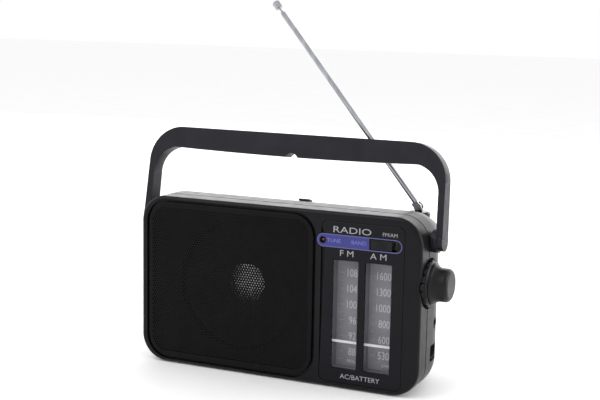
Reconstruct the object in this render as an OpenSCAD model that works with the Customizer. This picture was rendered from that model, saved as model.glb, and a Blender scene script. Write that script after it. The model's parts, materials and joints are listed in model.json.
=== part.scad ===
// Portable tabletop radio with carrying handle, telescopic antenna and sliding-pointer dial.
// Millimetres. X to the right, Y to the back, Z up. The radio rests on z = 0, front face towards -Y.
// Parts are drawn about the middle of the case, then in_frame() sets them in the object's frame.
// Section and node modules stand in the order in which the radio goes together on a bench.

/* [Case] */
// Width of the case
case_w = 213; // [207:1:230]
// Height of the case above its feet
case_h = 121.2; // [119:0.1:126]
// Depth of the case
case_d = 66; // [65:0.5:70]
// Corner radius of the case seen from the front
corner_r = 19; // [18:0.5:22]
// Wall thickness of both shells
wall = 2.4; // [2:0.1:2.8]
// Thickness of the front wall, which holds the grille and lens seats
face_t = 4.1; // [4:0.1:4.6]
// Depth of the front shell, from the front face to the seam
front_d = 14.4; // [13:0.2:16]
// Width of the groove between the shells
seam_w = 1.2; // [0.8:0.1:1.6]
// Rounding of the front edge
edge_r = 2.5; // [2.5:0.1:3]
// Radius of the long curve that closes the back of the case
back_r = 50; // [46:1:60]
// Angle through which that curve turns before it runs straight
back_turn = 18; // [15:1:20]
// Height of the rubber feet
foot_h = 0.8; // [0.8:0.1:2]

/* [Grille and dial] */
// Width of the speaker grille
grille_w = 128.9; // [120:0.1:130]
// Height of the speaker grille
grille_h = 113.2; // [106:0.1:114]
// Gap around the grille
grille_gap = 2; // [1:0.1:2.2]
// Width of the dial lens
lens_w = 59.3; // [56:0.1:60]
// Height of the dial lens
lens_h = 111; // [106:0.5:112]
// Length of the pointer's travel
travel = 60; // [50:1:64]
// Pointer height above the low end of its travel at rest
pointer_at = 10; // [2:0.5:40]

/* [Knobs] */
// Radius of the tuning ring
tune_r = 16.3; // [14:0.1:16.5]
// Number of lobes round the tuning ring
tune_lobes = 16; // [12:1:26]
// Radius of the volume knob
vol_r = 11.3; // [9:0.1:12]
// How far the volume knob stands out from the centre plane
knob_end = 121.8; // [119:0.1:126]

/* [Handle] */
// Height of the handle's pivots
handle_z = 104.8; // [103.5:0.1:106]
// Handle reach, from its pivots to the top of the grip
handle_reach = 64.5; // [62:0.1:72]
// Height of the grip
grip_h = 14.6; // [12:0.1:16]
// Lean of the handle to the back at rest, in degrees
handle_lean = 8; // [0:0.1:9]

/* [Antenna] */
// Lean of the antenna from upright at rest, in degrees
ant_lean = 39.2; // [10:0.1:60]
// Length of the collapsed antenna, from its hinge pin to its tip
ant_len = 178; // [150:1:178]
// Radius of the outer antenna tube
ant_r = 1.8; // [1.8:0.05:2]

/* [Sockets and battery bay] */
// Radius of the earphone jack's bore
jack_r = 1.8; // [1.3:0.05:1.85]
// Length of the battery bay, for two cells end to end with their springs
bay_w = 116; // [112:1:118]
// Height of the battery bay, for two rows of cells
bay_h = 34; // [31:1:36]

/* [Hidden] */
$fn = 72;
// Front, back and middle of the case
yf = -case_d / 2;
yb = case_d / 2;
z0 = foot_h;
z1 = foot_h + case_h;
zc = foot_h + case_h / 2;
xs = case_w / 2;
seam_y = yf + front_d;
face_y = yf + face_t;
// The back's long curve starts here, and its closing edge has this radius
back_y0 = -7;
back_edge = 6;
arc_end = [corner_r - back_r + back_r * cos(back_turn), -back_y0 - back_r * sin(back_turn)];
// Centre of the closing edge, where the straight run after the long curve meets it
close_at = [arc_end[0] - (arc_end[1] + yb - back_edge) * tan(back_turn) - back_edge / cos(back_turn),
    back_edge - yb];
// Speaker grille and speaker
grille_x = -35.45;
grille_z = zc + 0.2;
grille_cr = 15.5;
pocket_d = 2.1;
spk_x = -29;
spk_z = 62.4;
spk_r = 50;
// Dial lens, windows and the band slot
lens_x = 64.65;
lens_z = 60;
lens_t = 1.6;
pill_x = [31.5, 92.8];
pill_z = 102.3;
pill_h = 9.3;
fm_x = [43.6, 62.1];
am_x = [67, 85.9];
win_z = [14.6, 89.5];
slot_x = [70, 89];
lamp = [35.9, 102.4];
// Dial drive: everything on the cord lies in one plane
cord_r = 0.3;
cord_y = -18.9;
tune_y = -15.4;
tune_z = 76.4;
sleeve_r = 2.6;
spool_r = tune_y - cord_y - cord_r;
drum_r = 19.7;
drum_x = 76;
drum_z = 34;
idler_r = 3.7;
idlers = [[42, 18], [42, 100], [92, 100]];
run_x = 38;
pointer_z0 = 23;
pointer_z = pointer_z0 + pointer_at;
rail_x = 33.6;
rail_y = -22.2;
cup_r = tune_r + 1;
cup_x = 101;
chassis_y = [-10.6, -9.4];
board_y = [6, 7.6];
// Screws that hold the shells together
case_screw = [[-92, 22], [-92, 100], [34, 10], [34, 110]];
speaker_screw = [45, 135, 225, 315];
// Antenna
ant_x = 86;
ant_y = 17;
ant_z = 122;
seat_z = 118;
// Handle
pivot_y = -10.3;
arm_out = 114.8;
arm_t = 4.4;
arm_in = 1.4;
grip_corner = 26;
inner_corner = 19.5;
bow_r = 2800;
bow = 1.8;
// Sockets and battery bay
inlet_y = -0.8;
inlet_z = 26;
jack_y = 0.5;
jack_z = 46;
bay_z = 37;
bay_y = 14;
door_y = yb - 1.1;
door_z = bay_z - bay_h / 2 + 1.5;
// Outer face of the tuning ring, with the volume knob standing out beyond it
ring_end = knob_end - 12.4;
// Power switch
power_x = 5;
power_y = 5.8;
power_move = 6;
// The case's top falls away towards the back there by this angle, and by this much
power_tilt = min(asin((power_y - back_y0) / back_r), back_turn);
power_drop = back_r * (1 - cos(power_tilt))
    + (power_y - back_y0 - back_r * sin(power_tilt)) * tan(power_tilt);

// The origin is under the middle of the overall width, handle and knob included
mid_x = (knob_end - arm_out) / 2;

// ---- helpers ----

// Sets a finished part in the object's frame
module in_frame() {
    translate([-mid_x, 0, 0])
        children();
}

// A flat shape drawn in X and Z, made solid from y = a to y = b
module slab_y(a, b) {
    translate([0, b, 0])
        rotate([90, 0, 0])
            linear_extrude(b - a)
                children();
}

// A flat shape drawn in Y and Z, made solid from x = a to x = b
module slab_x(a, b) {
    translate([a, 0, 0])
        rotate([90, 0, 90])
            linear_extrude(b - a)
                children();
}

module rod_x(a, b, y, z, r) {
    translate([a, y, z])
        rotate([0, 90, 0])
            cylinder(h = b - a, r = r);
}

module rod_y(a, b, x, z, r) {
    translate([x, b, z])
        rotate([90, 0, 0])
            cylinder(h = b - a, r = r);
}

module box(lo, hi) {
    translate(lo)
        cube(hi - lo);
}

// A rectangle with round corners, centred at (x, y)
module round_rect(x, y, w, h, r) {
    translate([x, y]) {
        square([w - 2 * r, h], center = true);
        square([w, h - 2 * r], center = true);
        for (i = [-1, 1])
            for (j = [-1, 1])
                translate([i * (w / 2 - r), j * (h / 2 - r)])
                    circle(r);
    }
}

// Points along an arc round c, from angle a to angle b
function arc_points(c, r, a, b, n) =
    [for (i = [0 : n]) c + r * [cos(a + (b - a) * i / n), sin(a + (b - a) * i / n)]];

// Section of the case from a corner's centre outwards, t mm inside its outer face.
// Its second coordinate is -y, so the front face is at the top. Inner faces take fewer steps.
module case_section(t) {
    steps = t > 0 ? [1, 2, 2] : [6, 7, 8];
    polygon(concat(
        [[0, -yf - t]],
        arc_points([corner_r - edge_r, -yf - edge_r], max(edge_r - t, 0.1), 90, 0, steps[0]),
        arc_points([corner_r - back_r, -back_y0], back_r - t, 0, -back_turn, steps[1]),
        arc_points(close_at, back_edge - t, -back_turn, -90, steps[2]),
        [[0, -yb + t]]
    ));
}

// The part of the case's section between y = a and y = b
module section_band(t, a, b) {
    intersection() {
        case_section(t);
        translate([0, -b])
            square([corner_r + 1, b - a]);
    }
}

// The case's whole form, t mm inside its outer face, from y = a to y = b
module case_form(t, a, b) {
    ix = case_w / 2 - corner_r;
    iz = case_h / 2 - corner_r;
    translate([0, 0, zc])
        rotate([90, 0, 0]) {
            translate([-ix, -iz, -b])
                cube([2 * ix, 2 * iz, b - a]);
            for (k = [0 : 3])
                rotate(90 * k) {
                    half = k % 2 == 0 ? ix : iz;
                    side = k % 2 == 0 ? iz : ix;
                    translate([half, side, 0])
                        rotate_extrude(angle = 90)
                            section_band(t, a, b);
                    translate([half, side, 0])
                        rotate([90, 0, 0])
                            linear_extrude(2 * side)
                                section_band(t, a, b);
                }
        }
}

// ---- shells ----

// Outline of the long tab at the top of the lens, grown by e
module pill(e) {
    round_rect((pill_x[0] + pill_x[1]) / 2, pill_z, pill_x[1] - pill_x[0] + 2 * e, pill_h + 2 * e,
        pill_h / 2 + e - 0.01);
}

module knob_cup(extra, from_x) {
    rod_x(from_x, xs + 20, tune_y, tune_z, cup_r + extra);
}

module front_shell() {
    in_frame() color([0.13, 0.13, 0.14])
        difference() {
            union() {
                difference() {
                    case_form(0, yf, seam_y);
                    slab_y(face_y, seam_y + 1)
                        round_rect(0, zc, case_w - 2 * wall, case_h - 2 * wall, corner_r - wall);
                }
                intersection() {
                    case_form(0, yf, seam_y);
                    knob_cup(1.2, cup_x - 1.6);
                }
                for (p = case_screw)
                    rod_y(face_y - 1, -9.4, p[0], p[1], 3.5);
            }
            // Seats for the grille and the lens
            slab_y(yf - 1, yf + pocket_d)
                round_rect(grille_x, grille_z, grille_w + 2 * grille_gap,
                    grille_h + 2 * grille_gap - 0.3, grille_cr + grille_gap - 0.2);
            slab_y(yf - 1, yf + lens_t)
                round_rect(lens_x, lens_z, lens_w + 0.5, lens_h + 0.5, 4.2);
            slab_y(yf - 1, yf + lens_t)
                pill(0.25);
            // Speaker hole, dial opening, band slot and lamp hole
            rod_y(yf, face_y + 1, spk_x, spk_z, 46);
            slab_y(yf, face_y + 1)
                translate([36.5, 12])
                    square([53, 80.2]);
            slab_y(yf, face_y + 1)
                translate([slot_x[0], pill_z - 3.6])
                    square([slot_x[1] - slot_x[0], 7.2]);
            rod_y(yf, face_y + 1, lamp[0], lamp[1], 1.6);
            // Rebate for the rear shell's lip
            slab_y(seam_y - 2.4, seam_y + 1)
                difference() {
                    round_rect(0, zc, case_w - 2.3, case_h - 2.3, corner_r - 1.15);
                    round_rect(0, zc, case_w - 2 * wall - 0.2, case_h - 2 * wall - 0.2, corner_r - wall);
                    translate([cup_x - 3, tune_z - cup_r - 3])
                        square([8, 2 * cup_r + 6]);
                }
            knob_cup(0, cup_x);
            rod_x(cup_x - 2, cup_x + 1, tune_y, tune_z, sleeve_r + 0.5);
            for (p = case_screw)
                rod_y(-24, -8, p[0], p[1], 1.3);
            // Vent rows behind the grille, above and below the speaker
            for (i = [0 : 7])
                for (z = [9.2, 115.6])
                    slab_y(yf, face_y + 1)
                        translate([grille_x - 52 + 13 * i, z - 0.8])
                            square([9, 1.6]);
        }
}

module rear_shell() {
    in_frame() color([0.16, 0.16, 0.17])
        difference() {
            union() {
                difference() {
                    case_form(0, seam_y + seam_w, yb);
                    case_form(wall, seam_y, yb - wall + 0.001);
                }
                // Lip that slips inside the front shell, open where the knob cup stands
                slab_y(seam_y - 2.2, seam_y + seam_w + 0.5)
                    difference() {
                        round_rect(0, zc, case_w - 2.4, case_h - 2.4, corner_r - 1.2);
                        round_rect(0, zc, case_w - 2 * wall, case_h - 2 * wall, corner_r - wall);
                        translate([cup_x - 3, tune_z - cup_r - 3.2])
                            square([8, 2 * cup_r + 6.4]);
                    }
                intersection() {
                    case_form(0, seam_y + seam_w, yb);
                    union() {
                        knob_cup(1.2, cup_x - 1.6);
                        for (p = case_screw)
                            rod_y(-9.3, yb, p[0], p[1], 5);
                        // Battery bay
                        box([-bay_w / 2 - 2, bay_y - 2, bay_z - bay_h / 2 - 2],
                            [bay_w / 2 + 2, yb, bay_z + bay_h / 2 + 2]);
                    }
                }
                // Antenna seat
                translate([ant_x, ant_y, 106])
                    cylinder(h = seat_z - 106, r = 8);
            }
            // Battery bay, its finger notch and the door's hinge bores
            box([-bay_w / 2, bay_y, bay_z - bay_h / 2], [bay_w / 2, yb + 1, bay_z + bay_h / 2]);
            rod_x(-bay_w / 2 - 1.5, bay_w / 2 + 1.5, door_y, door_z, 1.06);
            box([-7, yb - 3.5, bay_z + bay_h / 2 - 1], [7, yb + 1, bay_z + bay_h / 2 + 6]);
            // Antenna seat and swivel bore
            translate([ant_x, ant_y, seat_z])
                cylinder(h = 20, r = 8);
            translate([ant_x, ant_y, 100])
                cylinder(h = 20, r = 4.56);
            knob_cup(0, cup_x);
            rod_x(cup_x - 2, cup_x + 1, tune_y, tune_z, sleeve_r + 0.5);
            // Handle pivot holes
            rod_x(-xs - 1, xs + 1, pivot_y, handle_z, 2.05);
            // Sockets
            slab_x(xs - 6, xs + 1)
                round_rect(inlet_y, inlet_z, 17.2, 11.6, 2.4);
            rod_x(xs - 6, xs + 1, jack_y, jack_z, 4.3);
            // Power switch slot
            box([power_x - 2.8, power_y - 2.3, z1 - 8], [power_x + power_move + 2.8, power_y + 2.3, z1 + 1]);
            // Case screws, sunk from the back
            for (p = case_screw) {
                rod_y(-10, yb + 1, p[0], p[1], 1.7);
                rod_y(-2, yb + 1, p[0], p[1], 3.6);
            }
            // Vents in the back
            for (i = [0 : 11])
                slab_y(yb - 4, yb + 1)
                    translate([spk_x - 34 + 6 * i, 68])
                        square([2.4, 24]);
        }
}

module rubber_feet() {
    in_frame() color([0.06, 0.06, 0.06])
        difference() {
            for (x = [-1, 1])
                for (y = [-18, 12])
                    translate([x * 82, y, 0])
                        cylinder(h = y > 0 ? foot_h + 6 : foot_h, r = 5);
            case_form(0, yf, yb);
        }
}

module case_screws() {
    in_frame() color([0.6, 0.6, 0.62])
        for (p = case_screw) {
            rod_y(-1.99, 0.2, p[0], p[1], 3);
            rod_y(-21, -1.9, p[0], p[1], 1.25);
        }
}

// ---- grille and dial ----

module speaker_grille() {
    in_frame() color([0.09, 0.09, 0.09])
        difference() {
            union() {
                slab_y(yf - 0.1, yf + pocket_d)
                    round_rect(grille_x, grille_z, grille_w, grille_h, grille_cr);
                slab_y(yf - 0.7, yf)
                    round_rect(grille_x, grille_z, grille_w - 1.6, grille_h - 1.6, grille_cr - 0.8);
            }
            slab_y(yf + 0.6, yf + pocket_d + 1)
                round_rect(grille_x, grille_z, grille_w - 2.4, grille_h - 2.4, grille_cr - 1.2);
        }
}

module dial_lens() {
    in_frame() color([0.05, 0.05, 0.06])
        difference() {
            slab_y(yf, yf + lens_t) {
                round_rect(lens_x, lens_z, lens_w, lens_h, 4);
                pill(0);
            }
            slab_y(yf - 1, yf + lens_t + 1)
                translate([slot_x[0], pill_z - 3.6])
                    square([slot_x[1] - slot_x[0], 7.2]);
            rod_y(yf - 1, yf + lens_t + 1, lamp[0], lamp[1], 2);
        }
}

module dial_frame() {
    in_frame() color([0.07, 0.07, 0.07])
        difference() {
            union() {
                box([41.2, -29.3, 12.2], [88.6, -23, 92]);
                box([42, face_y, 92], [88, face_y + 1.5, 96]);
                box([60, face_y, 9], [88, face_y + 1.5, 12.2]);
            }
            box([fm_x[0] - 0.3, -30, win_z[0] - 0.3], [fm_x[1] + 0.3, -22, win_z[1] + 0.3]);
            box([am_x[0] - 0.3, -30, win_z[0] - 0.3], [am_x[1] + 0.3, -22, win_z[1] + 0.3]);
        }
}

module scale_plate() {
    in_frame() color([0.38, 0.38, 0.38])
        box([41.2, -23, 12.2], [88.6, -22.2, 92]);
}

module dial_pointer() {
    in_frame() color([0.85, 0.85, 0.85])
        difference() {
            union() {
                box([37.2, -30.9, pointer_z - 0.8], [86.5, -30.1, pointer_z + 0.8]);
                box([37.2, -30.5, pointer_z - 0.8], [38.8, cord_y + cord_r, pointer_z + 0.8]);
                box([rail_x - 2, rail_y - 2, pointer_z - 4], [rail_x + 2, rail_y + 2, pointer_z + 4]);
                box([rail_x, rail_y - 1.4, pointer_z - 1.5], [38.8, rail_y + 1.4, pointer_z + 1.5]);
            }
            translate([rail_x, rail_y, pointer_z - 5])
                cylinder(h = 10, r = 1.05);
            translate([run_x, cord_y, pointer_z - 5])
                cylinder(h = 10, r = cord_r + 0.05);
        }
}

module pointer_rail() {
    in_frame() color([0.7, 0.7, 0.72]) {
        translate([rail_x, rail_y, pointer_z0 - 7])
            cylinder(h = travel + 14, r = 1);
        for (z = [pointer_z0 - 8, pointer_z0 + travel + 8])
            box([rail_x - 2, face_y, z - 1.3], [rail_x + 2, rail_y + 1.6, z + 1.3]);
    }
}

module tuning_lamp() {
    in_frame() color([0.75, 0.2, 0.15]) {
        rod_y(yf + 2, face_y + 1, lamp[0], lamp[1], 1.5);
        rod_y(face_y + 0.4, face_y + 2, lamp[0], lamp[1], 2.4);
        translate([lamp[0], yf + 2, lamp[1]])
            sphere(1.5);
    }
}

module band_knob() {
    in_frame() color([0.1, 0.1, 0.1]) {
        box([70.4, yf - 0.2, pill_z - 3.3], [85.6, yf + 3, pill_z + 3.3]);
        for (i = [0 : 4])
            box([74.4 + 1.6 * i, yf - 0.6, pill_z - 2.6], [75.2 + 1.6 * i, yf, pill_z + 2.6]);
        box([76, yf + 2.9, pill_z - 1.5], [80, -22.4, pill_z + 1.5]);
    }
}

module band_switch() {
    in_frame() color([0.7, 0.7, 0.68])
        difference() {
            union() {
                box([66, -24.5, 97.8], [90, -21, 106.8]);
                box([74, -21.1, 98.5], [84, chassis_y[0], 102.6]);
            }
            box([75.7, -25, pill_z - 1.8], [83.3, -21.9, pill_z + 1.8]);
        }
}

// ---- power switch ----

module power_knob() {
    in_frame() color([0.09, 0.09, 0.09]) {
        translate([power_x, power_y, z1 - power_drop])
            rotate([-power_tilt, 0, 0]) {
                translate([-4.2, -2.7, 0.2])
                    cube([8.4, 5.4, 1]);
                for (i = [-2 : 2])
                    translate([1.7 * i - 0.45, -2.7, 1])
                        cube([0.9, 5.4, 0.8]);
            }
        box([power_x - 2.5, power_y - 2, z1 - 9], [power_x + 2.5, power_y + 2, z1 - power_drop + 0.7]);
    }
}

module power_switch() {
    in_frame() color([0.7, 0.7, 0.68])
        difference() {
            box([power_x - 9, power_y - 4.5, z1 - 15], [power_x + power_move + 9, power_y + 4.5, z1 - 6]);
            box([power_x - 2.8, power_y - 2.3, z1 - 10], [power_x + power_move + 2.8, power_y + 2.3, z1]);
        }
}

// ---- knobs and dial drive ----

module tuning_knob() {
    lobe_r = 3.6;
    in_frame() color([0.13, 0.13, 0.14])
        difference() {
            union() {
                slab_x(cup_x + 0.8, ring_end - 0.8)
                    translate([tune_y, tune_z]) {
                        circle(tune_r - 1.6);
                        for (k = [0 : tune_lobes - 1])
                            rotate(k * 360 / tune_lobes)
                                translate([tune_r - lobe_r, 0])
                                    circle(lobe_r);
                    }
                translate([ring_end - 0.9, tune_y, tune_z])
                    rotate([0, 90, 0])
                        cylinder(h = 0.9, r1 = tune_r - 1.2, r2 = tune_r - 2.2);
                rod_x(89.4, 103, tune_y, tune_z, sleeve_r);
                rod_x(94, 98, tune_y, tune_z, spool_r);
            }
            rod_x(80, 130, tune_y, tune_z, 1.56);
        }
}

module volume_shaft() {
    in_frame() color([0.75, 0.75, 0.77])
        rod_x(79.5, knob_end - 3, tune_y, tune_z, 1.5);
}

module volume_knob() {
    end_r = 3.2;
    in_frame() color([0.15, 0.15, 0.16])
        difference() {
            translate([ring_end + 0.4, tune_y, tune_z])
                rotate([0, 90, 0])
                    rotate_extrude() {
                        len = knob_end - ring_end - 0.4;
                        square([vol_r - end_r, len]);
                        square([vol_r, len - end_r]);
                        translate([vol_r - end_r, len - end_r])
                            intersection() {
                                circle(end_r);
                                square(end_r + 1);
                            }
                        // Flared foot
                        polygon([[0, 0], [vol_r + 2.6, 0], [vol_r + 2.4, 0.8], [vol_r + 1, 2.2],
                            [vol_r, 4.4], [0, 4.4]]);
                    }
            rod_x(ring_end, knob_end - 3, tune_y, tune_z, 1.5);
        }
}

module volume_control() {
    in_frame() color([0.62, 0.55, 0.35])
        difference() {
            union() {
                rod_x(77, 87, tune_y, tune_z, 4.6);
                rod_x(86.9, 88.9, tune_y, tune_z, 3.5);
                box([79, tune_y + 4, tune_z - 4], [85, chassis_y[0], tune_z + 4]);
            }
            rod_x(79, 90, tune_y, tune_z, 1.56);
        }
}

module dial_chassis() {
    in_frame() color([0.78, 0.76, 0.7])
        difference() {
            union() {
                box([39.5, chassis_y[0], 8], [98, chassis_y[1], 107.2]);
                // Bracket that carries the tuning sleeve
                box([89.2, -20, tune_z - 7], [91.6, chassis_y[0] + 0.5, tune_z + 7]);
                for (p = idlers) {
                    rod_y(-16.9, chassis_y[0] + 0.5, p[0], p[1], 3);
                    rod_y(-21.3, -16.8, p[0], p[1], 1.2);
                }
                for (x = [43, 80])
                    for (z = [14, 98])
                        rod_y(chassis_y[1] - 0.5, board_y[0], x, z, 2.8);
                // Legs to the front shell
                box([91, face_y, 105.2], [96, chassis_y[0] + 0.5, 107.2]);
                box([97.3, face_y, 16], [99.5, chassis_y[0] + 0.5, 24]);
                box([95, chassis_y[0], 16], [99.5, chassis_y[1], 24]);
                box([39.5, face_y, 105.2], [64, chassis_y[0] + 0.5, 107.2]);
            }
            rod_x(88, 93, tune_y, tune_z, sleeve_r + 0.06);
            rod_y(-12, -8, drum_x, drum_z, 3.4);
        }
}

module drive_drum() {
    in_frame() color([0.85, 0.83, 0.76])
        difference() {
            union() {
                rod_y(-20.7, -19.5, drum_x, drum_z, drum_r + 1);
                rod_y(-19.6, -18.2, drum_x, drum_z, drum_r);
                rod_y(-18.3, -17.1, drum_x, drum_z, drum_r + 1);
                rod_y(-17.2, -4, drum_x, drum_z, 2.8);
            }
            for (k = [0 : 5])
                rotate_at(drum_x, drum_z, 60 * k)
                    rod_y(-22, -16, 12, 0, 4);
        }
}

// Turns what follows about the Y axis through (x, z)
module rotate_at(x, z, a) {
    translate([x, 0, z])
        rotate([0, a, 0])
            children();
}

module idler(p) {
    in_frame() color([0.85, 0.83, 0.76])
        difference() {
            union() {
                rod_y(-20.7, -19.5, p[0], p[1], idler_r + 1);
                rod_y(-19.6, -18.2, p[0], p[1], idler_r);
                rod_y(-18.3, -17.1, p[0], p[1], idler_r + 1);
            }
            rod_y(-22, -16, p[0], p[1], 1.25);
        }
}

module lower_idler() {
    idler(idlers[0]);
}

module left_idler() {
    idler(idlers[1]);
}

module right_idler() {
    idler(idlers[2]);
}

// Cord from a pointer run up over the idlers and down past the tuning sleeve to the drum
module dial_cord() {
    e = idler_r + cord_r;
    d = drum_r + cord_r;
    in_frame() color([0.9, 0.88, 0.8]) {
        translate([run_x, cord_y, idlers[0][1]])
            cylinder(h = idlers[1][1] - idlers[0][1], r = cord_r - 0.02);
        translate([drum_x + d, cord_y, drum_z])
            cylinder(h = idlers[2][1] - drum_z, r = cord_r - 0.02);
        rod_x(idlers[1][0], idlers[2][0], cord_y, idlers[1][1] + e, cord_r - 0.02);
        rod_x(idlers[0][0], drum_x, cord_y, drum_z - d, cord_r - 0.02);
        cord_arc(idlers[0], e, 180, 90);
        cord_arc(idlers[1], e, 90, 90);
        cord_arc(idlers[2], e, 0, 90);
        cord_arc([drum_x, drum_z], d, 0, -90);
    }
}

// Part of a ring of cord round p, from angle a through angle turn, in X and Z
module cord_arc(p, r, a, turn) {
    translate([p[0], cord_y, p[1]])
        rotate([90, 0, 0])
            rotate(turn < 0 ? a + turn : a)
                rotate_extrude(angle = abs(turn))
                    translate([r, 0])
                        circle(cord_r - 0.02);
}

module tuning_capacitor() {
    in_frame() color([0.85, 0.84, 0.78])
        difference() {
            union() {
                box([drum_x - 10, chassis_y[1], drum_z - 10], [drum_x + 10, 3, drum_z + 10]);
                for (x = [-6, 0, 6])
                    box([drum_x + x - 0.6, 2.9, drum_z - 12], [drum_x + x + 0.6, board_y[0], drum_z - 9]);
            }
            rod_y(-12, -3, drum_x, drum_z, 2.86);
        }
}

// ---- handle ----

module handle_outline() {
    top = handle_reach;
    corner_x = arm_out - arm_in - grip_corner;
    low = top - grip_corner;
    gap_top = top - grip_h - inner_corner - 1;
    difference() {
        union() {
            polygon([[-arm_out, -8], [arm_out, -8], [arm_out - arm_in, low], [-arm_out + arm_in, low]]);
            translate([-corner_x, low - 1])
                square([2 * corner_x, grip_corner + 1]);
            for (s = [-1, 1])
                translate([s * corner_x, low])
                    circle(grip_corner);
        }
        difference() {
            union() {
                polygon([[-arm_out + arm_t, -9], [arm_out - arm_t, -9],
                    [arm_out - arm_t - arm_in, gap_top], [-arm_out + arm_t + arm_in, gap_top]]);
                translate([0, gap_top])
                    round_rect(0, 0, 2 * (arm_out - arm_t - arm_in), 2 * inner_corner + 2, inner_corner);
            }
            translate([0, top - grip_h - bow + bow_r])
                circle(bow_r, $fn = 720);
        }
        translate([0, top - grip_h - bow - 2.6])
            circle(5.5);
    }
}

module handle() {
    in_frame() color([0.22, 0.21, 0.23])
        translate([0, pivot_y, handle_z])
            rotate([-handle_lean, 0, 0])
                difference() {
                    union() {
                        intersection() {
                            slab_y(-7, 7)
                                handle_outline();
                            slab_x(-arm_out - 1, arm_out + 1) {
                                circle(6.8);
                                polygon([[-6.4, 0], [6.4, 0], [5, handle_reach + 1],
                                    [-5, handle_reach + 1]]);
                            }
                        }
                        for (s = [0, 1])
                            mirror([s, 0, 0])
                                rod_x(xs + 0.4, arm_out - arm_t + 0.5, 0, 0, 8);
                    }
                    rod_x(-arm_out + 1.2, arm_out - 1.2, 0, 0, 2.06);
                }
}

module handle_pivots() {
    in_frame() color([0.7, 0.7, 0.72])
        for (s = [0, 1])
            mirror([s, 0, 0]) {
                rod_x(xs - 6, arm_out - 1.6, pivot_y, handle_z, 2);
                rod_x(xs - 8, xs - 5.9, pivot_y, handle_z, 4);
                rod_x(xs - 6, xs - wall - 1, pivot_y, handle_z, 3);
            }
}

// ---- antenna ----

module antenna_base() {
    in_frame() color([0.12, 0.12, 0.13])
        difference() {
            union() {
                translate([ant_x, ant_y, 104.4])
                    cylinder(h = seat_z - 104, r = 4.5);
                translate([ant_x, ant_y, seat_z + 0.1])
                    cylinder(h = 0.7, r = 6.6);
                translate([ant_x, ant_y, 104.4])
                    cylinder(h = 1.4, r = 6);
                // Tang between the cheeks of the antenna's fork
                slab_y(ant_y - 1.2, ant_y + 1.2) {
                    translate([ant_x, ant_z])
                        circle(2.4);
                    translate([ant_x - 2.4, seat_z + 0.5])
                        square([4.8, ant_z - seat_z - 0.5]);
                }
            }
            rod_y(ant_y - 4, ant_y + 4, ant_x, ant_z, 1.03);
        }
}

module antenna_pin() {
    in_frame() color([0.85, 0.85, 0.87]) {
        rod_y(ant_y - 3.4, ant_y + 3.4, ant_x, ant_z, 1);
        for (s = [-1, 1])
            rod_y(ant_y + 3.35 * s - 0.25, ant_y + 3.35 * s + 0.25, ant_x, ant_z, 1.6);
    }
}

// Places what follows along the antenna, with z measured from its hinge pin
module along_antenna() {
    translate([ant_x, ant_y, ant_z])
        rotate([0, -ant_lean, 0])
            children();
}

module tube(a, b, r, bore) {
    translate([0, 0, a])
        difference() {
            cylinder(h = b - a, r = r);
            translate([0, 0, 1])
                cylinder(h = b - a, r = bore);
        }
}

module antenna_tube() {
    in_frame() color([0.83, 0.83, 0.85])
        along_antenna() {
            tube(4.4, ant_len - 10, ant_r, 1.46);
            difference() {
                union() {
                    rotate([90, 0, 0])
                        cylinder(h = 6, r = 2.7, center = true);
                    translate([-2.3, -3, 0])
                        cube([4.6, 6, 4]);
                    translate([0, 0, 3.9])
                        cylinder(h = 0.6, r = 2.3);
                }
                rotate([90, 0, 0])
                    cylinder(h = 7, r = 1.06, center = true);
                translate([-4, -1.3, -4])
                    cube([8, 2.6, 6.8]);
            }
        }
}

module antenna_middle_section() {
    in_frame() color([0.83, 0.83, 0.85])
        along_antenna()
            tube(6, ant_len - 9.2, 1.4, 1.08);
}

module antenna_inner_section() {
    in_frame() color([0.83, 0.83, 0.85])
        along_antenna()
            tube(8, ant_len - 8.4, 1.02, 0.73);
}

module antenna_tip() {
    in_frame() color([0.83, 0.83, 0.85])
        along_antenna() {
            translate([0, 0, 10])
                cylinder(h = ant_len - 15.5, r = 0.67);
            translate([0, 0, ant_len - 6])
                rotate_extrude() {
                    square([2, 6]);
                    translate([0, 0.8])
                        square([2.8, 4.4]);
                }
        }
}

// ---- speaker ----

module speaker_frame() {
    in_frame() color([0.35, 0.35, 0.36])
        translate([spk_x, 0, spk_z])
            rotate([-90, 0, 0])
                difference() {
                    rotate_extrude()
                        polygon([[46.4, face_y], [spk_r, face_y], [spk_r, face_y + 1.2],
                            [47.6, face_y + 1.2], [44, -22], [25, -9.2], [25, -8], [14.4, -8],
                            [14.4, -9.2], [24, -9.2], [42.8, -22]]);
                    for (k = [0 : 5])
                        rotate(60 * k + 30)
                            translate([34, 0, -16])
                                cube([26, 20, 9], center = true);
                    for (a = speaker_screw)
                        rotate(a)
                            translate([spk_r - 1.15, 0, -40])
                                cylinder(h = 30, r = 0.8);
                }
}

module speaker_screws() {
    in_frame() color([0.6, 0.6, 0.62])
        translate([spk_x, 0, spk_z])
            rotate([-90, 0, 0])
                for (a = speaker_screw)
                    rotate(a)
                        translate([spk_r - 1.15, 0, 0]) {
                            translate([0, 0, face_y + 1.2])
                                cylinder(h = 1, r = 1.15);
                            translate([0, 0, face_y])
                                cylinder(h = 1.3, r = 0.75);
                        }
}

module speaker_cone() {
    in_frame() color([0.12, 0.12, 0.12])
        translate([spk_x, 0, spk_z])
            rotate([-90, 0, 0])
                rotate_extrude()
                    polygon([[44, -26.6], [44, -26], [42, -25.4], [14.4, -16.2], [13.55, -16.2],
                        [13.55, -17], [14, -17], [41.6, -26.6]]);
}

module dust_cap() {
    in_frame() color([0.1, 0.1, 0.1])
        translate([spk_x, 0, spk_z])
            rotate([-90, 0, 0])
                rotate_extrude()
                    intersection() {
                        difference() {
                            translate([0, 3])
                                circle(24.4);
                            translate([0, 3])
                                circle(23.8);
                        }
                        translate([0, -30])
                            square([13.9, 13]);
                    }
}

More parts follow.
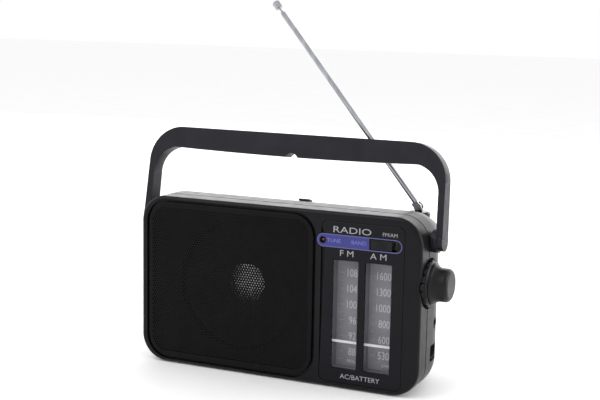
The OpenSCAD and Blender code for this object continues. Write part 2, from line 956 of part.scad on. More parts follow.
module voice_coil() {
    in_frame() color([0.72, 0.45, 0.2])
        translate([spk_x, 0, spk_z])
            rotate([-90, 0, 0])
                rotate_extrude()
                    translate([12.6, -17])
                        square([0.9, 12]);
}

module speaker_magnet() {
    in_frame() color([0.2, 0.2, 0.21])
        translate([spk_x, 0, spk_z])
            rotate([-90, 0, 0])
                rotate_extrude()
                    difference() {
                        union() {
                            translate([0, -8])
                                square([22, 4]);
                            translate([0, -4])
                                square([31, 10]);
                            translate([0, 6])
                                square([24, 4]);
                        }
                        translate([12.1, -9])
                            square([1.9, 9]);
                    }
}

// ---- electronics ----

module main_board() {
    in_frame() color([0.45, 0.36, 0.18])
        box([39.6, board_y[0], 9], [84, board_y[1], 105]);
}

module coil_cans() {
    in_frame() color([0.75, 0.75, 0.76])
        for (i = [0 : 3])
            box([42 + 10.5 * i, board_y[1], 84], [49.5 + 10.5 * i, board_y[1] + 11, 91.5]);
}

module audio_chip() {
    in_frame() color([0.08, 0.08, 0.08]) {
        box([44, board_y[1] + 0.6, 66], [63, board_y[1] + 4, 72.6]);
        for (i = [0 : 6])
            for (z = [65, 72.5])
                box([45 + 2.54 * i, board_y[1], z], [46 + 2.54 * i, board_y[1] + 2, z + 1.1]);
    }
}

module smoothing_capacitors() {
    in_frame() color([0.15, 0.2, 0.4]) {
        rod_y(board_y[1], board_y[1] + 20, 74, 70, 6.3);
        rod_y(board_y[1], board_y[1] + 12, 74, 54, 4);
        rod_y(board_y[1], board_y[1] + 12, 64, 60, 4);
        rod_y(board_y[1], board_y[1] + 11, 45, 97, 3.2);
    }
}

module ferrite_rod() {
    in_frame() color([0.2, 0.2, 0.2]) {
        rod_x(-80, -6, 12, 104, 4.5);
        rod_x(-58, -34, 12, 104, 5.1);
    }
}

module ferrite_holders() {
    in_frame() color([0.8, 0.78, 0.72])
        for (x = [-72, -14])
            difference() {
                box([x - 3, 6, 98], [x + 3, 18, 112.6]);
                rod_x(x - 4, x + 4, 12, 104, 4.55);
            }
}

module power_transformer() {
    in_frame() color([0.55, 0.5, 0.4]) {
        box([65, 9, 14.4], [91, 25.4, 42]);
        box([70, 8.2, 19], [86, 27.8, 37.4]);
        box([63.4, 25.3, 18], [92.6, 26.3, 38]);
        for (x = [66.5, 88])
            box([x, 26.2, 24], [x + 2.6, 30.55, 32]);
    }
}

// ---- sockets and batteries ----

module earphone_jack() {
    in_frame() color([0.12, 0.12, 0.12])
        difference() {
            union() {
                box([89.5, jack_y - 5.5, jack_z - 5.5], [xs - wall - 2, jack_y + 5.5, jack_z + 5.5]);
                rod_x(xs - wall - 2.1, xs - 0.9, jack_y, jack_z, 4);
            }
            rod_x(91.5, xs + 1, jack_y, jack_z, jack_r);
        }
}

module ac_inlet() {
    in_frame() color([0.1, 0.1, 0.1])
        difference() {
            slab_x(86.5, xs - 2.1)
                round_rect(inlet_y, inlet_z, 16.8, 11.2, 2.2);
            slab_x(xs - 13, xs + 1)
                round_rect(inlet_y, inlet_z, 14, 8.4, 4.19);
            for (s = [-1, 1])
                rod_x(85, 100, inlet_y + s * 4.3, inlet_z, 1.2);
        }
}

module inlet_pins() {
    in_frame() color([0.8, 0.8, 0.8])
        for (s = [-1, 1])
            rod_x(86.7, xs - 6.2, inlet_y + s * 4.3, inlet_z, 1.18);
}

module battery_door() {
    x = bay_w / 2 - 0.3;
    top = bay_z + bay_h / 2 - 0.3;
    in_frame() color([0.16, 0.16, 0.17])
        difference() {
            union() {
                box([-x, door_y - 1.1, door_z], [x, yb, top]);
                rod_x(-x, x, door_y, door_z, 1.1);
                rod_x(-x - 1.5, x + 1.5, door_y, door_z, 1);
                box([-4, yb - 3.3, top - 3], [4, yb - 1.1, top]);
            }
            for (i = [0 : 3])
                box([-5, yb - 0.5, top - 4 - 1.6 * i], [5, yb + 1, top - 3.2 - 1.6 * i]);
        }
}

module battery_contacts() {
    in_frame() color([0.8, 0.8, 0.8])
        for (s = [-1, 1])
            for (z = [-8.2, 8.2])
                box([s * (bay_w / 2 - 0.3) - 0.25, bay_y + 2, bay_z + z - 5.5],
                    [s * (bay_w / 2 - 0.3) + 0.25, bay_y + 12, bay_z + z + 5.5]);
}

module battery_springs() {
    in_frame() color([0.8, 0.8, 0.8])
        for (s = [-1, 1]) {
            z = bay_z + s * 8.2;
            for (k = [0 : 3])
                translate([s * (bay_w / 2 - 1.05 - 0.8 * k), bay_y + 7.5, z])
                    rotate([0, 90, 0])
                        rotate_extrude()
                            translate([4 - 0.7 * k, 0])
                                circle(0.45, $fn = 24);
        }
}

front_shell();
rear_shell();
speaker_grille();
dial_lens();
dial_frame();
scale_plate();
dial_pointer();
pointer_rail();
tuning_lamp();
band_knob();
band_switch();
power_knob();
power_switch();
tuning_knob();
volume_knob();
volume_shaft();
volume_control();
dial_chassis();
drive_drum();
lower_idler();
left_idler();
right_idler();
dial_cord();
tuning_capacitor();
handle();
handle_pivots();
antenna_base();
antenna_pin();
antenna_tube();
antenna_middle_section();
antenna_inner_section();
antenna_tip();
speaker_frame();
speaker_cone();
dust_cap();
voice_coil();
speaker_magnet();
speaker_screws();
main_board();
ferrite_rod();
ferrite_holders();
power_transformer();
smoothing_capacitors();
audio_chip();
coil_cans();
earphone_jack();
ac_inlet();
inlet_pins();
battery_door();
battery_springs();
battery_contacts();
case_screws();
rubber_feet();
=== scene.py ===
import json
import math

import bmesh
import bpy
from mathutils import Matrix, Vector
from mathutils.geometry import tessellate_polygon


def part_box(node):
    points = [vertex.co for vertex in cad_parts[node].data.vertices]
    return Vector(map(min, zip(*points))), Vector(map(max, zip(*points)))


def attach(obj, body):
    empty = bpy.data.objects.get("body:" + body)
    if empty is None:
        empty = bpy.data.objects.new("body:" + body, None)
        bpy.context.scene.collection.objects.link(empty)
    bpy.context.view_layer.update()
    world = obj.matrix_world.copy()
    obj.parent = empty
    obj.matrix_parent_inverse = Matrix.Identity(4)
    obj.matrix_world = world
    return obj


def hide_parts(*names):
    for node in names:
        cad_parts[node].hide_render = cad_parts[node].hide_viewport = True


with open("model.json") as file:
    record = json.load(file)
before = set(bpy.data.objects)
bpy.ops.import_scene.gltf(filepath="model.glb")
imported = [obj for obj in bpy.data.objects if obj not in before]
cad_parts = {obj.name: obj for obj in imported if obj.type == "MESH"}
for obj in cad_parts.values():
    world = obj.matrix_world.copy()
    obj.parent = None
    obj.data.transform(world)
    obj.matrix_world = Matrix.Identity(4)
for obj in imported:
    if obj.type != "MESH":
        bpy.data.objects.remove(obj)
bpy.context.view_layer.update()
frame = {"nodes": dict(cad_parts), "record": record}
MM = 0.001
CASE_LO, CASE_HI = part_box("front_shell")
CASE_X = (CASE_LO.x + CASE_HI.x) / 2


def linear(r, g, b):
    """Screen colour, 0 to 255, as the linear colour a shader takes."""
    def one(c):
        c /= 255
        return c / 12.92 if c <= 0.04045 else ((c + 0.055) / 1.055) ** 2.4
    return (one(r), one(g), one(b), 1)


# ---- materials ----

class Paint:
    """A Principled material whose tone, roughness and surface come from noise in the part's own space."""

    def __init__(self, name):
        self.mat = bpy.data.materials.new(name)
        self.mat.use_nodes = True
        self.nodes = self.mat.node_tree.nodes
        self.link = self.mat.node_tree.links.new
        self.bsdf = self.nodes["Principled BSDF"]
        self.space = self.nodes.new("ShaderNodeTexCoord").outputs["Object"]
        self.normal = None

    def noise(self, size_mm, detail=3, stretch=(1, 1, 1)):
        """Noise whose features are about size_mm, drawn out along an axis by stretch."""
        place = self.nodes.new("ShaderNodeMapping")
        place.inputs["Scale"].default_value = [1 / (size_mm * MM * s) for s in stretch]
        tex = self.nodes.new("ShaderNodeTexNoise")
        tex.inputs["Scale"].default_value = 1
        tex.inputs["Detail"].default_value = detail
        self.link(self.space, place.inputs["Vector"])
        self.link(place.outputs["Vector"], tex.inputs["Vector"])
        return tex.outputs["Fac"]

    def tone(self, dark, light, source):
        """Base colour between dark and light as source varies."""
        ramp = self.nodes.new("ShaderNodeValToRGB")
        ramp.color_ramp.elements[0].position = 0.3
        ramp.color_ramp.elements[0].color = dark
        ramp.color_ramp.elements[1].position = 0.7
        ramp.color_ramp.elements[1].color = light
        self.link(source, ramp.inputs["Fac"])
        self.link(ramp.outputs["Color"], self.bsdf.inputs["Base Color"])

    def rough(self, low, high, source):
        span = self.nodes.new("ShaderNodeMapRange")
        span.inputs["From Min"].default_value = 0.3
        span.inputs["From Max"].default_value = 0.7
        span.inputs["To Min"].default_value = low
        span.inputs["To Max"].default_value = high
        self.link(source, span.inputs["Value"])
        self.link(span.outputs["Result"], self.bsdf.inputs["Roughness"])

    def bump(self, height_mm, source, strength=1.0):
        node = self.nodes.new("ShaderNodeBump")
        node.inputs["Distance"].default_value = height_mm * MM
        node.inputs["Strength"].default_value = strength
        self.link(source, node.inputs["Height"])
        if self.normal:
            self.link(self.normal, node.inputs["Normal"])
        self.normal = node.outputs["Normal"]
        self.link(self.normal, self.bsdf.inputs["Normal"])

    def set(self, **values):
        for name, value in values.items():
            self.bsdf.inputs[name].default_value = value
        return self.mat


def plastic(name, dark, light, rough=(0.4, 0.52), grain_mm=0.5, depth_mm=0.012, **values):
    """Moulded plastic: spark-eroded grain, slow changes in tone, and rubbed patches in its sheen."""
    p = Paint(name)
    p.tone(dark, light, p.noise(14, detail=5))
    p.rough(rough[0], rough[1], p.noise(6, detail=4))
    p.bump(depth_mm, p.noise(grain_mm, detail=2))
    p.bump(0.03, p.noise(40), strength=0.3)
    return p.set(**values)


def metal(name, dark, light, rough=(0.15, 0.3), stretch=(1, 1, 1), size_mm=0.25, depth_mm=0.002):
    """Metal with drawing or polishing marks along the stretched axis."""
    p = Paint(name)
    p.tone(dark, light, p.noise(5, detail=4, stretch=stretch))
    p.rough(rough[0], rough[1], p.noise(2, detail=4, stretch=stretch))
    p.bump(depth_mm, p.noise(size_mm, stretch=stretch))
    return p.set(Metallic=1.0)


def printed(name, colour, rough=0.45):
    """Screen-printed ink, slightly uneven."""
    p = Paint(name)
    dim = tuple(c * 0.8 for c in colour[:3]) + (1,)
    p.tone(dim, colour, p.noise(0.6, detail=4))
    p.rough(rough - 0.05, rough + 0.1, p.noise(1.5))
    p.bump(0.004, p.noise(0.3))
    return p.set()


def board_material():
    """Phenolic board: brown sheet under a darker copper-track pattern."""
    p = Paint("board")
    tracks = p.nodes.new("ShaderNodeTexVoronoi")
    tracks.inputs["Scale"].default_value = 180
    p.link(p.space, tracks.inputs["Vector"])
    p.tone(linear(120, 88, 40), linear(150, 112, 58), tracks.outputs["Distance"])
    p.rough(0.35, 0.55, p.noise(4))
    p.bump(0.03, tracks.outputs["Distance"], strength=0.5)
    return p.set()


def laminated_material():
    """Stacked transformer steel: fine layers seen on edge."""
    p = Paint("laminated steel")
    wave = p.nodes.new("ShaderNodeTexWave")
    wave.bands_direction = "Y"
    wave.inputs["Scale"].default_value = 320
    wave.inputs["Distortion"].default_value = 0.4
    p.link(p.space, wave.inputs["Vector"])
    p.tone(linear(120, 110, 90), linear(165, 152, 128), wave.outputs["Fac"])
    p.rough(0.4, 0.6, p.noise(3))
    p.bump(0.05, wave.outputs["Fac"], strength=0.6)
    return p.set(Metallic=0.6)


def clear_material():
    """Clear acrylic over the dial: light passes, with a faint gloss."""
    p = Paint("clear acrylic")
    p.tone(linear(20, 20, 24), linear(26, 26, 30), p.noise(9))
    p.rough(0.05, 0.1, p.noise(5))
    p.bump(0.002, p.noise(7))
    p.mat.surface_render_method = "BLENDED"
    return p.set(Alpha=0.1)


def paper_material():
    """Pressed paper cone with fine fibres."""
    p = Paint("pressed paper")
    p.tone(linear(14, 14, 15), linear(26, 26, 27), p.noise(1.2, detail=6))
    p.rough(0.75, 0.95, p.noise(0.8))
    p.bump(0.06, p.noise(0.5, detail=5))
    return p.set()


# Dark plastics and paints mirror less at a straight look than clear ones
DULL = {"Specular IOR Level": 0.2}
DEAD = {"Specular IOR Level": 0.1}

BLACK = plastic("case plastic", linear(10, 10, 13), linear(15, 15, 19), rough=(0.3, 0.38),
                **{"Specular IOR Level": 0.15})
REAR = plastic("rear case plastic", linear(19, 19, 22), linear(24, 24, 28), rough=(0.32, 0.4), **DULL)
HANDLE = plastic("handle plastic", linear(24, 23, 29), linear(31, 30, 37), rough=(0.34, 0.44), **DULL)
KNOB = plastic("knob plastic", linear(12, 12, 14), linear(17, 17, 20), rough=(0.32, 0.4),
               grain_mm=0.4, **DULL)
SWITCH = plastic("switch plastic", linear(16, 16, 20), linear(22, 22, 26), rough=(0.35, 0.45),
                 grain_mm=0.3, **DULL)
MATT = plastic("matt black", linear(16, 15, 18), linear(22, 21, 24), rough=(0.6, 0.75),
               grain_mm=0.3, **DULL)
LENS = plastic("gloss black", linear(9, 9, 13), linear(13, 13, 18), rough=(0.08, 0.14),
               depth_mm=0.001, **{"Specular IOR Level": 0.15})
GRILLE = plastic("black paint on steel", linear(9, 9, 9), linear(14, 14, 14), rough=(0.45, 0.6),
                 grain_mm=0.25, depth_mm=0.01, **DEAD)
SCALE = plastic("grey scale print", linear(140, 139, 146), linear(154, 153, 160), rough=(0.5, 0.65),
                grain_mm=0.2, depth_mm=0.006)
# The dial frame is black; this light grey base is painted light, standing in for the light that falls on
# the tunnel walls.
TUNNEL_PAINTED_LIGHT = plastic("dial tunnel with painted light", linear(112, 110, 118), linear(124, 122, 130), rough=(0.5, 0.65))
WHITE = plastic("white plastic", linear(228, 228, 230), linear(242, 242, 244), rough=(0.4, 0.55))
NATURAL = plastic("natural moulding", linear(206, 200, 184), linear(222, 216, 200), rough=(0.4, 0.55))
RUBBER = plastic("foot rubber", linear(16, 16, 16), linear(26, 26, 26), rough=(0.75, 0.9),
                 grain_mm=0.6, depth_mm=0.05)
SLEEVE = plastic("capacitor sleeve", linear(24, 34, 84), linear(34, 46, 104), rough=(0.2, 0.3))
LAMP = plastic("lamp lens", linear(70, 26, 24), linear(96, 34, 30), rough=(0.12, 0.2), depth_mm=0.002)
FERRITE = plastic("ferrite", linear(44, 44, 47), linear(60, 60, 64), rough=(0.6, 0.75), depth_mm=0.04)
FRAME_PAINT = plastic("speaker frame paint", linear(6, 6, 6), linear(10, 10, 10), rough=(0.6, 0.75),
                      **DEAD)
TURRET = plastic("turret plastic", linear(15, 15, 17), linear(21, 21, 24), rough=(0.2, 0.3), **DULL)
CAP_METAL = metal("pressed cap", linear(214, 214, 216), linear(236, 236, 238), rough=(0.3, 0.45))
CHROME = metal("chrome", linear(150, 151, 156), linear(182, 183, 188), rough=(0.08, 0.2),
               stretch=(1, 1, 12))
STEEL = metal("steel", linear(165, 165, 168), linear(190, 190, 194), rough=(0.25, 0.4))
PLATED = metal("plated sheet", linear(172, 170, 162), linear(192, 190, 182), rough=(0.3, 0.45))
COPPER = metal("copper wire", linear(170, 98, 48), linear(196, 120, 66), rough=(0.25, 0.4),
               stretch=(6, 1, 6))
ALUMINIUM = metal("aluminium can", linear(190, 190, 193), linear(208, 208, 211), rough=(0.3, 0.42))
CORD = plastic("braided cord", linear(205, 200, 182), linear(226, 221, 204), rough=(0.8, 0.95),
               grain_mm=0.15, depth_mm=0.05)
PAPER = paper_material()
BOARD = board_material()
LAMINATED = laminated_material()
CLEAR = clear_material()
PRINT = printed("pale print", linear(150, 150, 156))
DIAL_PRINT = printed("dial print", linear(228, 227, 234))
TICK_PRINT = printed("dial ticks", linear(172, 171, 179))
BLUE = printed("blue print", linear(36, 42, 118), rough=0.3)
BLUE_LINE = printed("light blue line", linear(82, 82, 140), rough=0.3)
BLUE_TEXT = printed("pale blue print", linear(104, 108, 188), rough=0.3)

# The black dial frame (frame_black) takes the light grey tunnel material, which is painted light on its
# walls.
FINISH = {
    "case_plastic": BLACK, "rear_plastic": REAR, "grille_metal": GRILLE, "lens_black": LENS,
    "frame_black": TUNNEL_PAINTED_LIGHT, "scale_grey": SCALE, "pointer_white": WHITE, "steel": STEEL,
    "chrome": CHROME, "lamp_red": LAMP, "knob_plastic": KNOB, "switch_plastic": SWITCH,
    "switch_body": PLATED, "inner_plastic": NATURAL, "cord": CORD, "handle_plastic": HANDLE,
    "speaker_steel": FRAME_PAINT, "cap_metal": CAP_METAL, "turret_black": TURRET, "paper_black": PAPER, "copper": COPPER, "magnet": FERRITE,
    "board": BOARD, "can_metal": ALUMINIUM, "chip_black": MATT, "capacitor_sleeve": SLEEVE,
    "transformer_steel": LAMINATED, "socket_black": MATT, "foot_rubber": RUBBER,
}


def soften(node, width_mm, segments=2):
    """Rounds a CAD node's sharp edges a little, as moulding does."""
    o = frame["nodes"][node]
    weld = o.modifiers.new("weld", "WELD")
    weld.merge_threshold = 0.002 * MM
    bevel = o.modifiers.new("bevel", "BEVEL")
    bevel.width = width_mm * MM
    bevel.segments = segments
    bevel.limit_method = "ANGLE"
    bevel.angle_limit = math.radians(35)
    bevel.use_clamp_overlap = True
    bevel.harden_normals = True


def finish_nodes():
    for part in frame["record"]["subparts"]:
        o = frame["nodes"][part["node"]]
        o.data.materials.clear()
        o.data.materials.append(FINISH[part["material_slot"]])
    soften("handle", 2, segments=4)
    for node in ("volume_knob", "tuning_knob"):
        soften(node, 0.5)
    for node in ("band_knob", "power_knob", "battery_door", "earphone_jack", "ac_inlet"):
        soften(node, 0.25)


# ---- building pieces ----

def add_piece(name, verts, faces, material, body, smooth=False):
    mesh = bpy.data.meshes.new(name)
    mesh.from_pydata(verts, [], faces)
    mesh.materials.append(material)
    mesh.validate()
    for face in mesh.polygons:
        face.use_smooth = smooth
    o = bpy.data.objects.new(name, mesh)
    bpy.context.scene.collection.objects.link(o)
    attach(o, body)
    return o


def arc(x, z, r, start, turn, steps):
    """Points in X and Z along an arc, in degrees."""
    return [(x + r * math.cos(math.radians(start + turn * i / steps)),
             z + r * math.sin(math.radians(start + turn * i / steps))) for i in range(steps + 1)]


def round_box(x0, x1, z0, z1, r, steps=8):
    """Outline of a rectangle with round corners, anticlockwise from its lower right corner."""
    return (arc(x1 - r, z0 + r, r, -90, 90, steps) + arc(x1 - r, z1 - r, r, 0, 90, steps)
            + arc(x0 + r, z1 - r, r, 90, 90, steps) + arc(x0 + r, z0 + r, r, 180, 90, steps))


def plate(name, outline, holes, y0, y1, material, body, lip=0.0):
    """A flat plate in X and Z between y0 and y1 with holes right through; lip rounds its front edge."""
    loops = [outline] + holes
    front = [[Vector((x, z, 0)) for x, z in loop] for loop in loops]
    flat = [p for loop in loops for p in loop]
    n = len(flat)
    centre = [sum(c) / len(outline) for c in zip(*outline)]

    def shrunk(p, by):
        d = math.hypot(p[0] - centre[0], p[1] - centre[1])
        return [p[i] - (p[i] - centre[i]) / d * by for i in (0, 1)]

    layers = [(y0, lip), (y0 + lip * 0.3, lip * 0.3), (y0 + lip, 0), (y1, 0)] if lip else [(y0, 0), (y1, 0)]
    verts = []
    for y, by in layers:
        for i, p in enumerate(flat):
            q = shrunk(p, by) if i < len(outline) and by else p
            verts.append((q[0], y, q[1]))
    top = (len(layers) - 1) * n
    faces = [tuple(t) for t in tessellate_polygon(front)]
    faces += [tuple(reversed([i + top for i in t])) for t in tessellate_polygon(front)]
    for layer in range(len(layers) - 1):
        start = layer * n
        for loop in loops:
            k = len(loop)
            base = start
            for i in range(k):
                a, b = base + i, base + (i + 1) % k
                faces.append((a, b, b + n, a + n))
            start += k
    o = add_piece(name, verts, faces, material, body)
    tidy_normals(o)
    return o


def tidy_normals(o):
    """Turns every face of a closed piece outwards."""
    bm = bmesh.new()
    bm.from_mesh(o.data)
    bmesh.ops.recalc_face_normals(bm, faces=bm.faces)
    bm.to_mesh(o.data)
    bm.free()


def lettering(name, words, y, material, body="case"):
    """Printed words as one piece. Each is (text, x, z, height, width factor, side it is set from)."""
    depsgraph = bpy.context.evaluated_depsgraph_get()
    verts, faces = [], []
    for text, x, z, height, narrow, side in words:
        curve = bpy.data.curves.new("line", "FONT")
        curve.body = text
        curve.align_x = side
        curve.align_y = "CENTER"
        curve.size = height / 0.72
        curve.resolution_u = 3
        o = bpy.data.objects.new("line", curve)
        bpy.context.scene.collection.objects.link(o)
        depsgraph.update()
        mesh = bpy.data.meshes.new_from_object(o.evaluated_get(depsgraph))
        start = len(verts)
        verts += [(x + v.co.x * narrow, y, z + v.co.y) for v in mesh.vertices]
        faces += [tuple(start + i for i in f.vertices) for f in mesh.polygons]
        bpy.data.objects.remove(o)
    return add_piece(name, verts, faces, material, body)


# ---- speaker grille ----

GRILLE_CORNER = 15.5 * MM
HOLE_PITCH = 2.0 * MM
HOLE_R = 0.66 * MM
SHEET = 0.5 * MM
RIM = 3.2 * MM


def inset_of(x, z, x0, x1, z0, z1, r):
    """How far a point lies inside a rectangle with round corners."""
    dx = max(x0 + r - x, x - (x1 - r))
    dz = max(z0 + r - z, z - (z1 - r))
    if dx > 0 and dz > 0:
        return r - math.hypot(dx, dz)
    return r - max(dx, dz)


def build_grille():
    """Perforated sheet: hexagonal tiles, each with a round hole, inside a plain rolled rim."""
    lo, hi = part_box("speaker_grille")
    x0, x1, z0, z1 = lo.x, hi.x, lo.z, hi.z
    face_y = lo.y
    verts, faces, seen = [], [], {}

    def vert(x, y, z):
        key = (round(x * 1e7), round(y * 1e7), round(z * 1e7))
        if key not in seen:
            seen[key] = len(verts)
            verts.append((x, y, z))
        return seen[key]

    tile_r = HOLE_PITCH / math.sqrt(3)
    row = HOLE_PITCH * math.sqrt(3) / 2
    turns = [math.radians(30 + 60 * k) for k in range(6)]
    mid_x, mid_z = (x0 + x1) / 2, (z0 + z1) / 2
    for j in range(int(-(z1 - z0) / 2 / row), int((z1 - z0) / 2 / row) + 1):
        for i in range(int(-(x1 - x0) / 2 / HOLE_PITCH) - 1, int((x1 - x0) / 2 / HOLE_PITCH) + 2):
            x = mid_x + (i + 0.5 * (j % 2)) * HOLE_PITCH
            z = mid_z + j * row
            inset = inset_of(x, z, x0, x1, z0, z1, GRILLE_CORNER)
            if inset < tile_r + 0.2 * MM:
                continue
            corner = [vert(x + tile_r * math.cos(t), face_y, z + tile_r * math.sin(t)) for t in turns]
            if inset < RIM:
                faces.append(tuple(corner))
                continue
            edge = [vert(x + HOLE_R * math.cos(t), face_y, z + HOLE_R * math.sin(t)) for t in turns]
            deep = [vert(x + HOLE_R * math.cos(t), face_y + SHEET, z + HOLE_R * math.sin(t))
                    for t in turns]
            for k in range(6):
                n = (k + 1) % 6
                faces.append((corner[k], corner[n], edge[n], edge[k]))
                faces.append((edge[k], edge[n], deep[n], deep[k]))
    # Rim: from under the tiles out over a rolled edge and back to the seat
    profile = [(2.8, 0.03), (0.9, 0.03), (0.5, 0.12), (0.2, 0.35), (0.03, 0.75), (0, 1.1), (0, 2.7)]
    rings = []
    for inset, back in profile:
        d = inset * MM
        loop = round_box(x0 + d, x1 - d, z0 + d, z1 - d, GRILLE_CORNER - d, steps=14)
        rings.append([vert(x, face_y + back * MM, z) for x, z in loop])
    for a, b in zip(rings, rings[1:]):
        for k in range(len(a)):
            n = (k + 1) % len(a)
            faces.append((a[k], a[n], b[n], b[k]))
    o = add_piece("perforated_grille", verts, faces, GRILLE, "case")
    for face in o.data.polygons:
        face.use_smooth = len(face.vertices) == 4 and abs(face.normal.y) < 0.98
    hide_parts("speaker_grille")


# ---- dial ----

LENS_CORNER = 4 * MM
PILL_Z = 102.3 * MM
PILL_R = 4.64 * MM
LAMP_R = 2 * MM
WINDOWS = {"fm": (CASE_X + 43.6 * MM, CASE_X + 62.1 * MM), "am": (CASE_X + 67 * MM, CASE_X + 85.9 * MM)}
WINDOW_Z = (14.6 * MM, 89.5 * MM)
SLOT = (CASE_X + 70 * MM, CASE_X + 89 * MM)
SLOT_HALF = 3.6 * MM


def build_lens():
    """Black-backed lens plate with its pill-shaped tab, and a clear pane in each window."""
    lo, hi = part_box("dial_lens")
    lamp_lo, lamp_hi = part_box("tuning_lamp")
    lamp_x = (lamp_lo.x + lamp_hi.x) / 2
    body_x = CASE_X + 35 * MM
    end_x = lo.x + PILL_R
    reach = math.degrees(math.acos((body_x - end_x) / -PILL_R))
    outline = round_box(body_x, hi.x, lo.z, hi.z, LENS_CORNER)
    corner_points = len(outline) // 4
    pill_end = arc(end_x, PILL_Z, PILL_R, reach, 2 * (180 - reach), 12)
    outline = outline[:3 * corner_points] + pill_end + outline[3 * corner_points:]
    holes = [round_box(x0, x1, WINDOW_Z[0], WINDOW_Z[1], 0.8 * MM, 3) for x0, x1 in WINDOWS.values()]
    holes.append(round_box(SLOT[0], SLOT[1], PILL_Z - SLOT_HALF, PILL_Z + SLOT_HALF, 0.6 * MM, 3))
    holes.append(arc(lamp_x, PILL_Z, LAMP_R, 0, 345, 23))
    panel = plate("lens_panel", outline, holes, lo.y, hi.y, LENS, "case", lip=0.35 * MM)
    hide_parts("dial_lens")
    for name, (x0, x1) in WINDOWS.items():
        pane = round_box(x0, x1, WINDOW_Z[0], WINDOW_Z[1], 0.8 * MM, 3)
        plate(name + "_window", pane, [], lo.y + 0.1 * MM, hi.y, CLEAR, "case")
    build_pill(lo, lamp_x)
    y = lo.y - 0.02 * MM
    lettering("lens_print", [
        ("F M", CASE_X + 53.5 * MM, 94.2 * MM, 4.2 * MM, 1.2, "CENTER"),
        ("A M", CASE_X + 76.4 * MM, 94.2 * MM, 4.2 * MM, 1.2, "CENTER"),
        ("RADIO", CASE_X + 57 * MM, 110 * MM, 4.4 * MM, 1.5, "CENTER"),
        ("FM/AM", CASE_X + 84 * MM, 109.6 * MM, 2.6 * MM, 1.0, "CENTER"),
        ("AC/BATTERY", CASE_X + 65 * MM, 9.2 * MM, 3.4 * MM, 1.05, "CENTER"),
    ], y, PRINT)


def build_pill(lens_lo, lamp_x):
    """Blue print round the band switch: an outline, a filled left part and two plain words."""
    y = lens_lo.y - 0.02 * MM
    x0, x1 = lens_lo.x, CASE_X + 92.8 * MM
    line = 0.6 * MM

    def stadium(inset):
        return round_box(x0 + inset, x1 - inset, PILL_Z - PILL_R + inset, PILL_Z + PILL_R - inset,
                         PILL_R - inset, 10)

    outer, inner = stadium(0.1 * MM), stadium(0.1 * MM + line)
    n = len(outer)
    verts = [(x, y, z) for x, z in outer + inner]
    faces = [(k, (k + 1) % n, n + (k + 1) % n, n + k) for k in range(n)]
    add_piece("pill_outline", verts, faces, BLUE_LINE, "case")
    r = PILL_R - line - 0.1 * MM
    end_x = x0 + PILL_R
    fill_x = CASE_X + 69.4 * MM
    fill = [(fill_x, PILL_Z - r), (fill_x, PILL_Z + r)] + arc(end_x, PILL_Z, r, 90, 180, 12)
    hole = arc(lamp_x, PILL_Z, LAMP_R + 0.5 * MM, 0, 345, 23)
    triangles = tessellate_polygon([[Vector((x, z, 0)) for x, z in loop] for loop in (fill, hole)])
    verts = [(x, y, z) for x, z in fill + hole]
    add_piece("pill_fill", verts, [tuple(t) for t in triangles], BLUE, "case")
    lettering("pill_print", [
        ("TUNE", CASE_X + 44 * MM, PILL_Z, 2.6 * MM, 1.1, "CENTER"),
        ("BAND", CASE_X + 62 * MM, PILL_Z, 2.6 * MM, 1.1, "CENTER"),
    ], y - 0.02 * MM, BLUE_TEXT)


SCALES = {
    "fm": (CASE_X + 57.8 * MM, ["108", "104", "100", "96", "92", "88"], "MHz"),
    "am": (CASE_X + 82.2 * MM, ["1600", "1300", "1000", "800", "600", "530"], "kHz"),
}
SCALE_TOP = 79 * MM
SCALE_STEP = 11 * MM
TICKS_PER_STEP = 2
NUMBER_H = 5.5 * MM


def build_scales():
    """Numbers and tick marks on the grey plate behind the windows."""
    lo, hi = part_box("scale_plate")
    y = lo.y - 0.03 * MM
    words = []
    for right, numbers, unit in SCALES.values():
        for i, number in enumerate(numbers):
            words.append((number, right, SCALE_TOP - i * SCALE_STEP, NUMBER_H, 0.74, "RIGHT"))
        words.append((unit, right, SCALE_TOP - 5.6 * SCALE_STEP, 2.6 * MM, 0.9, "RIGHT"))
    lettering("dial_numbers", words, y, DIAL_PRINT)
    verts, faces = [], []
    for (x0, x1) in WINDOWS.values():
        for i in range(6 * TICKS_PER_STEP):
            z = SCALE_TOP - i * SCALE_STEP / TICKS_PER_STEP
            left = x0 + 1.6 * MM
            wide = (3.2 if i % TICKS_PER_STEP == 0 else 2) * MM
            n = len(verts)
            for dx, dz in ((0, -0.5), (1, -0.5), (1, 0.5), (0, 0.5)):
                verts.append((left + dx * wide, y, z + dz * 0.8 * MM))
            faces.append((n, n + 1, n + 2, n + 3))
    add_piece("dial_ticks", verts, faces, TICK_PRINT, "case")


# ---- camera, floor and light ----

CAMERA_AT = (0.3576, -0.7866, 0.2581)
CAMERA_TURN = 24.45
CAMERA_RISE = 8.94
CAMERA_ROLL = 1.07
CAMERA_LENS = 74.33


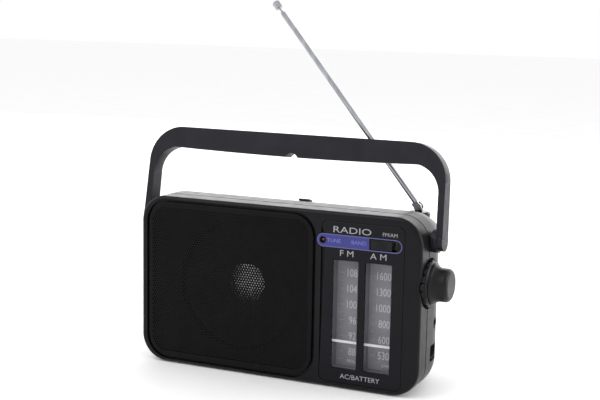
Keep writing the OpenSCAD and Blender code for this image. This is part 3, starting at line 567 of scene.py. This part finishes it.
def add_camera():
    data = bpy.data.cameras.new("camera")
    data.lens = CAMERA_LENS
    data.sensor_width = 36
    cam = bpy.data.objects.new("camera", data)
    turn, rise, roll = (math.radians(a) for a in (CAMERA_TURN, CAMERA_RISE, CAMERA_ROLL))
    level = Vector((math.cos(turn), math.sin(turn), 0))
    back = Vector((math.sin(turn) * math.cos(rise), -math.cos(turn) * math.cos(rise), math.sin(rise)))
    upright = back.cross(level)
    right = level * math.cos(roll) + upright * math.sin(roll)
    up = upright * math.cos(roll) - level * math.sin(roll)
    cam.matrix_world = Matrix.Translation(CAMERA_AT) @ Matrix((right, up, back)).transposed().to_4x4()
    bpy.context.scene.collection.objects.link(cam)
    bpy.context.scene.camera = cam


def add_light(name, at, size, power, seen=True):
    data = bpy.data.lights.new(name, "AREA")
    data.shape = "RECTANGLE"
    data.size, data.size_y = size
    data.energy = power
    lamp = bpy.data.objects.new(name, data)
    lamp.location = at
    aim = Vector((0, 0, 0.06)) - Vector(at)
    lamp.rotation_euler = aim.to_track_quat("-Z", "Y").to_euler()
    lamp.visible_camera = seen
    bpy.context.scene.collection.objects.link(lamp)


def add_floor():
    half = 6.0
    mesh = bpy.data.meshes.new("floor")
    mesh.from_pydata([(-half, -half, 0), (half, -half, 0), (half, half, 0), (-half, half, 0)], [],
                     [(0, 1, 2, 3)])
    paper = Paint("studio paper")
    paper.tone((0.94, 0.94, 0.94, 1), (0.96, 0.96, 0.96, 1), paper.noise(60))
    paper.rough(0.7, 0.85, paper.noise(20))
    paper.bump(0.02, paper.noise(1))
    mesh.materials.append(paper.mat)
    floor = bpy.data.objects.new("floor", mesh)
    bpy.context.scene.collection.objects.link(floor)


def add_world():
    world = bpy.data.worlds.new("world")
    bpy.context.scene.world = world
    world.use_nodes = True
    world.node_tree.nodes["Background"].inputs["Color"].default_value = (1, 1, 1, 1)
    world.node_tree.nodes["Background"].inputs["Strength"].default_value = 1.0
    bpy.context.scene.view_settings.view_transform = "Standard"


finish_nodes()
build_grille()
build_lens()
build_scales()
add_camera()
add_floor()
add_world()
add_light("key", (-0.5, -0.8, 1.1), (0.9, 0.9), 6)
add_light("back", (-0.2, 1.5, 0.6), (2.6, 1.0), 13, seen=False)
add_light("right", (1.3, 0.4, 0.5), (0.8, 0.9), 9)
